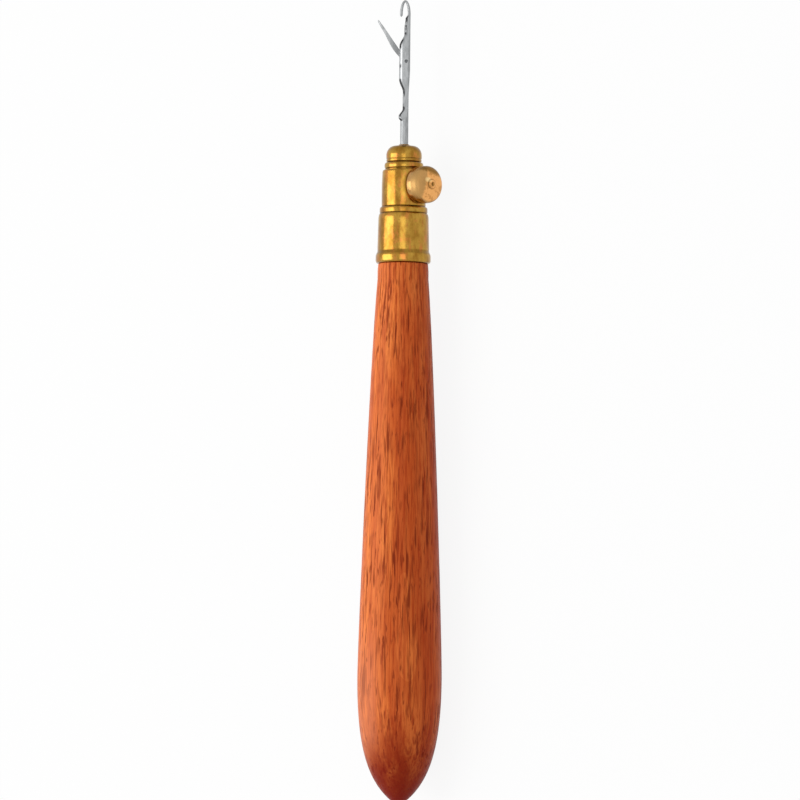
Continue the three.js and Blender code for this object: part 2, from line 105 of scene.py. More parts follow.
# Handle
BUTT_FLAT = 1.1
BUTT_OUT = 4.75
BUTT_UP = 3.75
BULGE = 7.57
BULGE_STATION = 22.5
BULGE_RUN_DOWN = 12.0
BULGE_RUN_UP = 6.0
NECK = 4.58
NECK_LENGTH = 2.8
NECK_FLARE = 1.12
NECK_RUN = 13.0
NECK_END = 4.49
NECK_END_LENGTH = 1.3
NECK_END_ROUND = 0.12
TENON = 3.9
TENON_ROUND = 0.2
SEAT = 0.05
TOUCH = 0.005
TANG = 1.6
TANG_ROUND = 0.2
handle_end = ferrule_base - SEAT

# Ferrule and ring
FERRULE = 4.65
FERRULE_UPPER = 4.53
FERRULE_LIP = 1.2
FERRULE_EDGE = 0.3
WEB = 1.35
BEAD = 4.95
BEAD_LENGTH = 1.5
BEAD_ROUND = 0.6
BEAD_UPPER_ROUND = 0.3
BEAD_FLARE = 0.24
COVE_LENGTH = 1.2
RING = 4.3
RING_ROUND = 0.5
RING_LOWER_ROUND = 0.25

# Needle holder and nose cap
BARREL = 3.96
BARREL_UPPER = 3.85
BARREL_LENGTH = 6.67
BARREL_ROUND = 0.42
BARREL_FOOT_ROUND = 0.15
GROOVE = 3.38
GROOVE_WIDTH = 0.16
SHOULDER = 3.5
SHOULDER_ROUND = 0.55
SHOULDER_FOOT_ROUND = 0.4
SPIGOT = 2.2
SPIGOT_LENGTH = 1.4
BORE = 0.78
SCREW_HOLE = 1.31
COUNTERSINK = 0.3
COUNTERSINK_DEPTH = 0.35
CAP = 3.2
CAP_FOOT = 2.8
CAP_FOOT_ROUND = 0.3
CAP_LINE = 0.57
CAP_LINE_DEPTH = 0.09
CAP_LINE_ROUND = 0.04
CAP_RIDGE_ROUND = 0.06
CAP_DOME = 1.75
CAP_FLAT = 1.75
CAP_BROW = 0.8
MOUTH = 0.95
MOUTH_HEIGHT = 0.28
MOUTH_FOOT = 0.12
MOUTH_FOOT_ROUND = 0.08
MOUTH_DRAFT = 0.02
MOUTH_ROUND = 0.1
barrel_base = ring_top + SEAT
barrel_top = barrel_base + BARREL_LENGTH
shoulder_top = cap_base - TOUCH
nose_face = cap_top - MOUTH_HEIGHT

# Thumb screw
THREAD = 1.25
THREAD_DEPTH = 0.22
THREAD_FLANK = 0.4
PITCH = 0.45
THREAD_STEPS = 24
TIP_LENGTH = 0.2
TIP_TAPER = 0.82
HEAD = 3.36
HEAD_INNER_ROUND = 0.35
HEAD_OUTER_ROUND = 1.05
HEAD_DOME = 0.38
HEAD_DOME_ROUND = 0.4
HEAD_HOLE_ROUND = 0.1
RIVET_END = 0.7
RIVET_GAP = 0.06
RIVET_ROOT = 0.5
PIP = 0.86
PIP_GAP = 0.05
PIP_FOOT = 0.03
PIP_ROUND = 0.2
DENT = 0.34
DENT_ROUND = 0.08
DENT_FLOOR_ROUND = 0.05
thread_end = head_inner - SEAT

# Needle, with half widths and half depths
SHANK = 0.72
SHANK_END = [(0.0, 0.28), (0.12, 0.5), (0.45, SHANK)]
CHEEK_FRONT = 1.04
CHEEK_BACK = 0.95
CHEEK_HALF = 0.62
CHEEK_DEPTH = 0.84
CHEEK_RUN = 1.1
LIP_RUN = 0.35
RELIEF = 0.34
SWELL_BELOW = 0.4
SWELL_ABOVE = 1.2
WAIST_DEPTH = 0.6
NECK_EDGE = 0.05
WAIST_EDGE = 0.15
HOOK_HALF = 0.71
WIRE = 0.25
BEND_THINNING = 0.22
BEAK = 0.4
BEAK_TAPER = [(0.3, 0.235), (0.6, 0.19), (0.85, 0.13), (1.0, 0.06)]
STEM_LENGTH = 4.38
LIP_LENGTH = 1.0
RELIEF_LENGTH = 6.6
RELIEF_LOWER_RUN = 1.3
RELIEF_UPPER_RUN = 2.2
CHEEK_ABOVE_RIVET = 2.75
SLOPE_LENGTH = 2.3
WAIST_LENGTH = 2.73
THROAT_RISE = 0.72
RINGS_BELOW = 0.6
FLAT_UNCUT = 1.3
FLAT_BELOW = 0.8
FLAT_ABOVE = 0.6
FLAT_ROUND = 0.5
FLAT_UPPER_ROUND = 0.8
WIRE_CLEAR = 0.02

# Latch, its rivet and its slot
LATCH_REST = math.radians(34.5)
LATCH_HALF = 0.19
LATCH_EYE = 0.5
LATCH_ROOT_INNER = 0.42
LATCH_ROOT_OUTER = 0.46
LATCH_ROOT_LENGTH = 1.6
LATCH_INNER = 0.18
LATCH_BELLY = 0.73
LATCH_BELLY_STATION = 3.2
LATCH_TIP = 0.24
LATCH_TIP_RUN = 0.3
LATCH_POINT_INNER = 0.06
LATCH_POINT_OUTER = 0.08
BLADE_HALF = 0.3
BLADE_SWELL = 0.1
SPOON_HALF = 0.48
SPOON_LENGTH = 1.4
SPOON_REACH = 0.45
SPOON_LEAD = 0.3
SPOON_RUN = 0.6
SPOON_END_HALF = 0.38
SPOON_END_RUN = 0.35
SPOON_POINT_HALF = 0.12
SPOON_UNCUT = 0.7
SPOON_FLARE_BELOW = 0.2
SPOON_FLARE_ABOVE = 0.3
SPOON_FLARE_ROUND = 0.3
SPOON_HOLLOW = (0.2, 0.56, 0.36, 1)
PIN = 0.27
PIN_HOLE = 0.3
PIN_ROUND = 0.06
PIN_SUNK = 0.01
SLOT = 0.48
SLOT_REACH = 3
SLOT_ROUND = 0.2
SLOT_GAP = 0.06
SLOT_FLOOR_ROUND = 0.6
SLOT_ABOVE_RIVET = 1.0
SLOT_UPPER_ROUND = 0.4
SLOT_SLOPE_ROUND = 0.3
SLOT_TOP_DROP = 0.1
SLOT_TOP_RISE = 0.5
stem_top = nose_face + STEM_LENGTH
relief_base = stem_top + LIP_LENGTH
relief_top = relief_base + RELIEF_LENGTH
slope_base = rivet_level + CHEEK_ABOVE_RIVET
slope_top = slope_base + SLOPE_LENGTH
throat_level = slope_top + WAIST_LENGTH
hook_level = throat_level + THROAT_RISE
latch_length = math.hypot(HOOK_HALF + rivet_offset, hook_level - rivet_level) + SPOON_REACH
lip_base = stem_top + 0.25 * LIP_LENGTH

# How far the needle's front edge stands out from its axis, by station
FRONTS = [
    (lip_base, SHANK),
    (lip_base + LIP_RUN, CHEEK_FRONT),
    (relief_base, CHEEK_FRONT),
    (relief_base + RELIEF_LOWER_RUN, RELIEF),
    (relief_top - RELIEF_UPPER_RUN, RELIEF),
    (relief_top, CHEEK_FRONT),
    (slope_base, CHEEK_FRONT),
    (slope_top, WAIST_EDGE),
    (slope_top + 0.25 * WAIST_LENGTH, WAIST_EDGE),
    (throat_level, -NECK_EDGE),
    (hook_level, WIRE - HOOK_HALF),
]


def select_only(piece):
    bpy.ops.object.select_all(action="DESELECT")
    piece.select_set(True)
    bpy.context.view_layer.objects.active = piece


def bezier(start, first, second, end, steps):
    """Points on a cubic curve of radius and station, its last point included and its first left out."""
    points = []
    for i in range(1, steps + 1):
        t = i / steps
        a = start.lerp(first, t)
        b = first.lerp(second, t)
        c = second.lerp(end, t)
        points.append(a.lerp(b, t).lerp(b.lerp(c, t), t))
    return points


def rounded(corners, steps=6):
    """An outline through corners of radius and station. A third number rounds that corner off."""
    outline = []
    for i, corner in enumerate(corners):
        here = Vector(corner[:2])
        if len(corner) == 2:
            outline.append(here)
            continue
        before = Vector(corners[i - 1][:2])
        after = Vector(corners[(i + 1) % len(corners)][:2])
        start = here + (before - here).normalized() * corner[2]
        end = here + (after - here).normalized() * corner[2]
        for k in range(steps + 1):
            t = k / steps
            outline.append(start.lerp(here, t).lerp(here.lerp(end, t), t))
    return outline


def stations(start, end, steps):
    """Evenly spaced stations from one to another, both included."""
    return [start + (end - start) * i / steps for i in range(steps + 1)]


def between(keys, station):
    """A size that eases from one (station, size) key to the next."""
    if station <= keys[0][0]:
        return keys[0][1]
    for (start, first), (end, second) in zip(keys, keys[1:]):
        if station <= end:
            share = (station - start) / (end - start)
            share = share * share * (3 - 2 * share)
            return first + (second - first) * share
    return keys[-1][1]


def edges_ring(front, back, depth, station):
    """A level ring from a front edge at -x to a back edge at +x."""
    return (Vector(((back - front) / 2, station)), (back + front) / 2, depth, 0.0)


def wire(name, outline):
    """Draws a line of edges through an outline, one extruded vertex after another, and stays in edit mode."""
    bpy.ops.object.select_all(action="DESELECT")
    bpy.ops.mesh.primitive_plane_add(size=MM)
    piece = bpy.context.object
    piece.name = name
    bpy.ops.object.mode_set(mode="EDIT")
    bpy.ops.mesh.select_mode(type="VERT")
    bpy.ops.mesh.select_all(action="SELECT")
    bpy.ops.mesh.merge(type="CENTER")
    bpy.ops.transform.translate(value=(outline[0].x * MM, outline[0].y * MM, 0))
    for before, after in zip(outline, outline[1:]):
        step = (after - before) * MM
        bpy.ops.mesh.extrude_region_move(TRANSFORM_OT_translate={"value": (step.x, step.y, 0)})
    bpy.ops.mesh.select_all(action="SELECT")
    return piece


def close_up():
    """Merges the doubles of the piece being edited, turns its faces outwards and leaves edit mode."""
    bpy.ops.mesh.select_all(action="SELECT")
    bpy.ops.mesh.remove_doubles(threshold=WELD)
    bpy.ops.mesh.normals_make_consistent(inside=False)
    bpy.ops.object.mode_set(mode="OBJECT")


def turned(name, outline, facets):
    """A piece turned about the tool's axis. Its outline starts and ends on the axis, or closes on itself."""
    on_axis = outline[0].x == 0 and outline[-1].x == 0
    piece = wire(name, outline if on_axis else outline + outline[:1])
    bpy.ops.mesh.spin(steps=facets, angle=2 * math.pi, center=(0, 0, 0), axis=(0, 1, 0))
    close_up()
    return piece


def flat_face(name, outline):
    """One face with the given outline, left in edit mode."""
    piece = wire(name, outline + outline[:1])
    bpy.ops.mesh.remove_doubles(threshold=WELD)
    bpy.ops.mesh.edge_face_add()
    return piece


def plate(name, outline, thickness):
    """A flat plate with the given outline, centred on the plane it is drawn in."""
    piece = flat_face(name, outline)
    bpy.ops.transform.translate(value=(0, 0, -thickness / 2 * MM))
    bpy.ops.mesh.extrude_region_move(TRANSFORM_OT_translate={"value": (0, 0, thickness * MM)})
    close_up()
    return piece


def side_slab(half):
    """A slab across the needle's plane, with the half widths that it leaves of a piece at each station."""
    other_half = [(-corner[0], *corner[1:]) for corner in reversed(half)]
    slab = plate("slab", rounded(half + other_half), SLAB)
    place(slab, Matrix.Rotation(math.pi / 2, 4, "Y"))
    return slab


def rod(radius, length, facets, offset=0, level=0):
    """A round rod across the needle, to join to a piece or to cut a hole with."""
    bpy.ops.object.select_all(action="DESELECT")
    bpy.ops.mesh.primitive_cylinder_add(
        vertices=facets, radius=radius * MM, depth=length * MM, location=(offset * MM, level * MM, 0)
    )
    return bpy.context.object


def drawn_out(name, rings):
    """A bar drawn out ring by ring. A ring has its centre, its half width and its half depth, and a lean."""
    centre, half_width, half_depth, lean = rings[0]
    bpy.ops.object.select_all(action="DESELECT")
    bpy.ops.mesh.primitive_circle_add(
        vertices=STEEL_FACETS, radius=MM, fill_type="NGON", rotation=(math.pi / 2, 0, 0)
    )
    piece = bpy.context.object
    piece.name = name
    bpy.ops.object.transform_apply(location=True, rotation=True, scale=True)
    bpy.ops.object.mode_set(mode="EDIT")
    bpy.ops.mesh.select_all(action="SELECT")
    bpy.ops.transform.resize(value=(half_width, 1, half_depth), center_override=(0, 0, 0))
    bpy.ops.transform.translate(value=(centre.x * MM, centre.y * MM, 0))
    for next_centre, next_width, next_depth, next_lean in rings[1:]:
        step = (next_centre - centre) * MM
        bpy.ops.mesh.extrude_region_move(TRANSFORM_OT_translate={"value": (step.x, step.y, 0)})
        middle = (next_centre.x * MM, next_centre.y * MM, 0)
        wide = next_width / half_width
        deep = next_depth / half_depth
        along = wide if lean or next_lean else 1
        bpy.ops.transform.resize(value=(wide, along, deep), center_override=middle)
        if next_lean != lean:
            bpy.ops.transform.rotate(value=lean - next_lean, orient_axis="Z", center_override=middle)
        centre, half_width, half_depth, lean = next_centre, next_width, next_depth, next_lean
    close_up()
    return piece


def combine(piece, other, how):
    """Joins (UNION), cuts (DIFFERENCE) or crosses (INTERSECT) a piece with another, which is used up."""
    change = piece.modifiers.new(how, "BOOLEAN")
    change.operation = how
    change.solver = "EXACT"
    change.object = other
    select_only(piece)
    bpy.ops.object.modifier_apply(modifier=change.name)
    bpy.data.objects.remove(other)


def place(piece, matrix):
    """Moves a piece and keeps the move in its mesh."""
    piece.matrix_world = matrix
    select_only(piece)
    bpy.ops.object.transform_apply(location=True, rotation=True, scale=True)


def lay_on_screw(piece):
    """A piece turned about the tool's axis goes along the thumb screw, its station as the distance out."""
    place(piece, Matrix.Translation((0, screw_level * MM, 0)) @ Matrix.Rotation(-math.pi / 2, 4, "Z"))


def finish(piece, node, body, material):
    """Gives a piece its shading and material and its body, and hides the solid that it stands in for."""
    select_only(piece)
    bpy.ops.object.shade_smooth_by_angle(angle=SMOOTH_UNDER)
    piece.data.materials.clear()
    piece.data.materials.append(material)
    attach(piece, body)
    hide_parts(node)


# Finishes


class Finish:
    """A material under construction: nodes are added by type with their settings and linked by name."""

    def __init__(self, name):
        self.material = bpy.data.materials.new(name)
        self.material.use_nodes = True
        self.nodes = self.material.node_tree.nodes
        self.links = self.material.node_tree.links
        self.shader = self.nodes["Principled BSDF"]
        self.place = self.add("ShaderNodeTexCoord").outputs["Object"]

    def add(self, kind, settings=None, **inputs):
        """A node. An input given as _0, _1 and so on is meant by its place, because others share its name."""
        node = self.nodes.new(kind)
        for name, value in (settings or {}).items():
            setattr(node, name, value)
        for name, value in inputs.items():
            self.feed(node.inputs[int(name[1:])] if name[1:].isdigit() else node.inputs[name], value)
        return node

    def feed(self, socket, value):
        if isinstance(value, bpy.types.NodeSocket):
            self.links.new(value, socket)
        else:
            socket.default_value = value

    def set(self, name, value):
        self.feed(self.shader.inputs[name], value)

    def stretched(self, scale, rotation=(0, 0, 0)):
        return self.add("ShaderNodeMapping", Vector=self.place, Scale=scale, Rotation=rotation).outputs[0]

    def noise(self, scale, detail, roughness, rotation=(0, 0, 0)):
        """A noise from 0 to 1 with so many grains to the metre along each axis."""
        vector = self.stretched(scale, rotation)
        node = self.add("ShaderNodeTexNoise", Vector=vector, Scale=1.0, Detail=detail, Roughness=roughness)
        return node.outputs["Fac"]

    def parts(self, vector):
        return self.add("ShaderNodeSeparateXYZ", Vector=vector).outputs

    def spread(self, value, low, high, to_low=0.0, to_high=1.0):
        """Eases from one output to another while the value goes from low to high."""
        node = self.add("ShaderNodeMapRange", {"interpolation_type": "SMOOTHSTEP"}, Value=value)
        self.feed(node.inputs["From Min"], low)
        self.feed(node.inputs["From Max"], high)
        self.feed(node.inputs["To Min"], to_low)
        self.feed(node.inputs["To Max"], to_high)
        return node.outputs["Result"]

    def band(self, value, rise, fall):
        """The share of a band that fades in over the first pair of values and out over the second."""
        return self.math("MULTIPLY", self.spread(value, *rise), self.spread(value, *fall, 1.0, 0.0))

    def math(self, how, first, second):
        return self.add("ShaderNodeMath", {"operation": how}, _0=first, _1=second).outputs[0]

    def mix(self, share, first, second):
        node = self.add("ShaderNodeMix", {"data_type": "RGBA"}, _0=share, _6=first, _7=second)
        return node.outputs[2]

    def bump(self, height, distance, strength):
        return self.add("ShaderNodeBump", Height=height, Distance=distance, Strength=strength).outputs[0]


def colour(red, green, blue):
    """An on-screen colour, 0 to 255, as a linear one."""
    linear = [((c / 255 + 0.055) / 1.055) ** 2.4 for c in (red, green, blue)]
    return (*linear, 1.0)


# Wood: its ground and its figure, a stained butt, painted light and shade across its sides, and a painted
# sheen
WOOD_GROUND = colour(197, 90, 38)
WOOD_PALE = colour(230, 127, 60)
WOOD_YEARS = colour(166, 58, 16)
WOOD_FIBRE = colour(156, 52, 14)
WOOD_PORES = colour(112, 32, 8)
PAINTED_SHADE_SIDE = colour(156, 46, 8)
PAINTED_LIT_SIDE = colour(228, 126, 68)
PAINTED_FAR_EDGE_SHADE = colour(186, 74, 30)
PAINTED_SHEEN_TONE = colour(228, 144, 104)
STAINED_BUTT = colour(116, 20, 2)

# Brass: a deep tone, a bright one and a redder one, old polish and painted shade, stains, a painted
# reflection and a painted highlight
YELLOW_BRASS = (colour(150, 106, 38), colour(182, 142, 60), colour(194, 122, 62))
TAN_BRASS = (colour(168, 130, 78), colour(188, 148, 92), colour(204, 150, 92))
OLD_POLISH_AND_SHADE = colour(112, 80, 24)
PAINTED_REFLECTION_BRASS = colour(238, 172, 102)
STAINED_BRASS = colour(158, 106, 48)
PAINTED_HAZY_REFLECTION = colour(180, 141, 86)
PAINTED_HIGHLIGHT_BRASS = colour(252, 222, 156)

# Steel, with a painted highlight and painted edge shade
NEEDLE_TONES = (colour(144, 146, 147), colour(166, 168, 169))
RIVET_TONES = (colour(84, 86, 88), colour(104, 106, 108))
PAINTED_HIGHLIGHT_STEEL = colour(246, 247, 248)
LATCH_TIP_TONE = colour(216, 217, 218)
LATCH_ROOT_TONE = colour(104, 105, 106)
PAINTED_STEEL_EDGE_SHADE = colour(36, 36, 38)


def lacquered_wood():
    wood = Finish("lacquered_reddish_wood")

    # The grain runs a little askew of the handle
    tilt = (math.radians(1.3), 0, math.radians(-0.9))
    broad = wood.noise((300, 26, 300), detail=3, roughness=0.6, rotation=tilt)
    fibre = wood.noise((3000, 90, 3000), detail=5, roughness=0.7, rotation=tilt)
    vessels = wood.noise((1700, 135, 1700), detail=2, roughness=0.5)
    short_vessels = wood.noise((2500, 330, 2500), detail=2, roughness=0.5)
    checks = wood.noise((2600, 38, 2600), detail=2, roughness=0.5)
    patches = wood.noise((190, 75, 190), detail=2, roughness=0.5)

    # Year rings round a pith beside the handle
    pith = wood.add(
        "ShaderNodeMapping", Vector=wood.place, Location=(0.019, 0, 0.012), Rotation=(math.radians(2.2), 0, 0)
    ).outputs[0]
    years = wood.add(
        "ShaderNodeTexWave",
        {"wave_type": "RINGS", "rings_direction": "Y", "wave_profile": "SAW"},
        Vector=pith,
        Scale=165.0,
        Distortion=2.2,
        Detail=3.0,
        **{"Detail Scale": 0.25},
    ).outputs["Fac"]
    tone = wood.mix(wood.spread(broad, 0.35, 0.65), WOOD_GROUND, WOOD_PALE)
    tone = wood.mix(wood.spread(years, 0.3, 1.0, 0.0, 0.35), tone, WOOD_YEARS)
    tone = wood.mix(wood.spread(fibre, 0.42, 0.66, 0.0, 0.8), tone, WOOD_FIBRE)

    # Painted light on one side of the needle's plane, painted shade on the other, and painted shade at the
    # far edge
    turned_back = wood.add("ShaderNodeMapping", Vector=wood.place, Rotation=(0, -needle_turn, 0)).outputs[0]
    across = wood.math("ADD", wood.parts(turned_back)["X"], wood.math("MULTIPLY", broad, 4 * MM))
    tone = wood.mix(wood.spread(across, 1 * MM, 8 * MM, 0.0, 0.5), tone, PAINTED_SHADE_SIDE)
    tone = wood.mix(wood.spread(across, -4 * MM, 1 * MM, 0.3, 0.0), tone, PAINTED_LIT_SIDE)
    tone = wood.mix(wood.spread(across, -7.5 * MM, -5 * MM, 0.35, 0.0), tone, PAINTED_FAR_EDGE_SHADE)

    # Open pores, closer together in some patches, and a few long checks
    streaks = wood.math("MAXIMUM", wood.spread(vessels, 0.52, 0.68), wood.spread(short_vessels, 0.56, 0.7))
    pores = wood.math("MULTIPLY", streaks, wood.spread(patches, 0.4, 0.6, 0.35, 1.0))
    pores = wood.math("MAXIMUM", pores, wood.spread(checks, 0.62, 0.68))
    tone = wood.mix(wood.math("MULTIPLY", pores, 0.85), tone, WOOD_PORES)

    # The butt is stained dark, and above it is a painted sheen in a band
    along = wood.parts(wood.place)["Y"]
    from_butt = wood.math("ADD", along, wood.math("MULTIPLY", broad, 12 * MM))
    tone = wood.mix(wood.spread(from_butt, 6 * MM, 24 * MM, 0.97, 0.0), tone, STAINED_BUTT)
    painted_sheen = wood.band(across, (-7 * MM, -5 * MM), (-4 * MM, -1 * MM))
    painted_sheen = wood.math("MULTIPLY", painted_sheen, wood.spread(along, 20 * MM, 36 * MM, 0.28, 0.0))
    painted_sheen = wood.math("MULTIPLY", painted_sheen, wood.spread(along, 6 * MM, 12 * MM))
    wood.set("Base Color", wood.mix(painted_sheen, tone, PAINTED_SHEEN_TONE))
    wood.set("Roughness", wood.spread(pores, 0.0, 1.0, 0.36, 0.6))
    wood.set("Specular IOR Level", 0.07)
    relief = wood.math("SUBTRACT", wood.math("MULTIPLY", fibre, 0.3), pores)
    wood.set("Normal", wood.bump(relief, distance=0.04 * MM, strength=0.6))
    return wood.material


class TurnedBrass(Finish):
    """Polished brass with turning lines round its axis, and a mottle of older, redder metal."""

    def __init__(self, name, deep, bright, red, centre=(0, 0, 0), along="Y"):
        super().__init__(name)
        self.object_parts = self.parts(self.place)
        place = self.add("ShaderNodeMapping", Vector=self.place, Location=[-c for c in centre]).outputs[0]
        parts = self.parts(place)
        self.along = parts[along]
        across = [parts[axis] for axis in "XYZ" if axis != along]
        self.radius = self.length(*across)
        self.grain = self.noise((3000, 2400, 3000), detail=3, roughness=0.6)
        smear = self.noise((520, 300, 520), detail=3, roughness=0.6)
        blush = self.noise((700, 330, 700), detail=3, roughness=0.65)
        self.tone = self.mix(self.spread(smear, 0.36, 0.64), deep, bright)
        self.tone = self.mix(self.spread(blush, 0.5, 0.66, 0.0, 0.75), self.tone, red)
        self.tone = self.mix(self.spread(self.grain, 0.3, 0.48, 0.45, 0.0), self.tone, deep)
        self.dull = 0.0

    def length(self, first, second):
        flat = self.add("ShaderNodeCombineXYZ", X=first, Y=second).outputs[0]
        return self.add("ShaderNodeVectorMath", {"operation": "LENGTH"}, _0=flat).outputs["Value"]

    def dirt_and_shade(self, value, middle, reach, depth):
        """A share of darkening that is deepest where the value is at its middle and gone at its reach: grime
        in grooves, painted shade elsewhere.
        """
        distance = self.math("ABSOLUTE", self.math("SUBTRACT", value, middle * MM), 0.0)
        return self.spread(distance, 0.3 * reach * MM, reach * MM, depth, 0.0)

    def recess(self, station, reach, depth=0.6):
        """Old polish and grime left in a groove round the piece. At the cap's top it is painted shade."""
        patchy = self.spread(self.grain, 0.2, 0.6, 1.0, 0.65)
        dirt_and_shade = self.math("MULTIPLY", self.dirt_and_shade(self.along, station, reach, depth), patchy)
        self.tone = self.mix(dirt_and_shade, self.tone, OLD_POLISH_AND_SHADE)

    def ring(self, middle, reach, depth):
        """Painted shade in a ring on the outer end of the thumb screw's head."""
        on_end = self.spread(self.along, (head_outer - 0.8) * MM, (head_outer - 0.5) * MM)
        dirt_and_shade = self.math("MULTIPLY", self.dirt_and_shade(self.radius, middle, reach, depth), on_end)
        self.tone = self.mix(dirt_and_shade, self.tone, OLD_POLISH_AND_SHADE)

    def painted_reflection_and_stains(self, start, end):
        """A painted reflection that brightens the end from one distance along the axis to another, with
        stains over it.
        """
        on_end = self.spread(self.along, start * MM, end * MM, 0.0, 0.9)
        self.tone = self.mix(on_end, self.tone, PAINTED_REFLECTION_BRASS)
        stains = self.spread(self.noise((900, 900, 900), detail=3, roughness=0.6), 0.38, 0.5, 0.5, 0.0)
        self.tone = self.mix(self.math("MULTIPLY", stains, on_end), self.tone, STAINED_BRASS)

    def painted_light_on_end(self):
        """The head's end: duller on one side with a painted reflection in a hazy tone, painted shade at its
        top and rim, and a small painted highlight.
        """
        rise = self.math("SUBTRACT", self.object_parts["Y"], screw_level * MM)
        sideways = self.object_parts["Z"]
        wobble = self.math("MULTIPLY", self.grain, 0.7 * MM)

        # Duller on one side, with a painted reflection in a hazy tone
        side = self.math("ADD", sideways, self.math("ADD", self.math("MULTIPLY", rise, 0.22), wobble))
        dull_reflection_side = self.spread(side, 1.5 * MM, 2.0 * MM)
        outwards = self.spread(self.along, (head_inner + 1.0) * MM, (head_inner + 1.5) * MM)
        reflection_patch = self.math("MULTIPLY", dull_reflection_side, outwards)
        self.dull = self.math("MULTIPLY", reflection_patch, 0.3)
        self.tone = self.mix(self.math("MULTIPLY", reflection_patch, 0.85), self.tone, PAINTED_HAZY_REFLECTION)

        # Painted shade at the top and round part of the rim
        top = self.math("ADD", rise, self.math("ADD", wobble, self.math("MULTIPLY", sideways, -0.25)))
        on_end = self.spread(self.along, (head_outer - 1.6) * MM, (head_outer - 0.9) * MM)
        at_top = self.math("MULTIPLY", self.spread(top, 2.0 * MM, 2.8 * MM, 0.0, 0.85), on_end)
        self.tone = self.mix(at_top, self.tone, OLD_POLISH_AND_SHADE)
        rim = self.math("MULTIPLY", self.spread(self.radius, 2.8 * MM, 3.2 * MM, 0.0, 0.6), on_end)
        rim = self.math("MULTIPLY", rim, self.spread(sideways, -0.8 * MM, 0.6 * MM, 1.0, 0.0))
        self.tone = self.mix(rim, self.tone, OLD_POLISH_AND_SHADE)

        # A small painted highlight
        spot = self.length(
            self.math("DIVIDE", self.math("SUBTRACT", rise, 0.75 * MM), 0.45 * MM),
            self.math("DIVIDE", self.math("SUBTRACT", sideways, 0.85 * MM), 0.7 * MM),
        )
        bright = self.math("MULTIPLY", self.spread(spot, 0.5, 1.3, 0.6, 0.0), on_end)
        self.tone = self.mix(bright, self.tone, PAINTED_HIGHLIGHT_BRASS)

    def painted_shadow_under_head(self):
        """Painted shadow on the metal behind the thumb screw's head."""
        rise = self.math("SUBTRACT", self.object_parts["Y"], screw_level * MM)
        from_screw = self.length(rise, self.object_parts["Z"])
        near = self.spread(from_screw, 0.74 * HEAD * MM, 0.94 * HEAD * MM, 0.85, 0.0)
        facing = self.spread(self.object_parts["X"], 0.0, 1.0 * MM)
        self.tone = self.mix(self.math("MULTIPLY", near, facing), self.tone, OLD_POLISH_AND_SHADE)

    def done(self):
        line = self.math("ADD", self.radius, self.along)
        lines = self.add("ShaderNodeTexNoise", {"noise_dimensions": "1D"}, W=line, Scale=2600.0, Detail=4.0)
        height = self.math("ADD", lines.outputs["Fac"], self.math("MULTIPLY", self.grain, 0.8))
        self.set("Base Color", self.tone)
        self.set("Metallic", 1.0)
        self.set("Roughness", self.math("ADD", self.spread(self.grain, 0.3, 0.7, 0.16, 0.26), self.dull))
        self.set("Normal", self.bump(height, distance=0.0035 * MM, strength=0.8))
        return self.material


def ferrule_brass():
    brass = TurnedBrass("ferrule_brass", *YELLOW_BRASS)
    brass.recess(ferrule_base, reach=0.3)
    brass.recess(ferrule_base + BEAD_LENGTH + BEAD_FLARE * 2, reach=0.55, depth=0.75)
    brass.recess(ferrule_top, reach=0.35)
    brass.recess(ring_top, reach=0.3)
    return brass.done()


def holder_brass():
    brass = TurnedBrass("holder_brass", *YELLOW_BRASS)
    brass.recess(barrel_base, reach=0.3)
    brass.recess(barrel_top + GROOVE_WIDTH / 2, reach=0.45)
    brass.recess(cap_base, reach=0.45)
    brass.recess(cap_base + CAP_LINE, reach=0.22)
    # Painted shade over the cap's top
    brass.recess(cap_top, reach=1.7, depth=0.9)
    brass.painted_shadow_under_head()
    return brass.done()


def screw_brass():
    brass = TurnedBrass("screw_brass", *TAN_BRASS, centre=(0, screw_level * MM, 0), along="X")
    rim = head_outer - HEAD_DOME
    brass.painted_reflection_and_stains(rim - 0.4, rim)
    brass.painted_light_on_end()
    # Painted shade round the pip's foot and in its dent
    brass.ring(PIP, reach=0.22, depth=0.4)
    brass.ring(0, reach=0.55, depth=0.9)
    return brass.done()


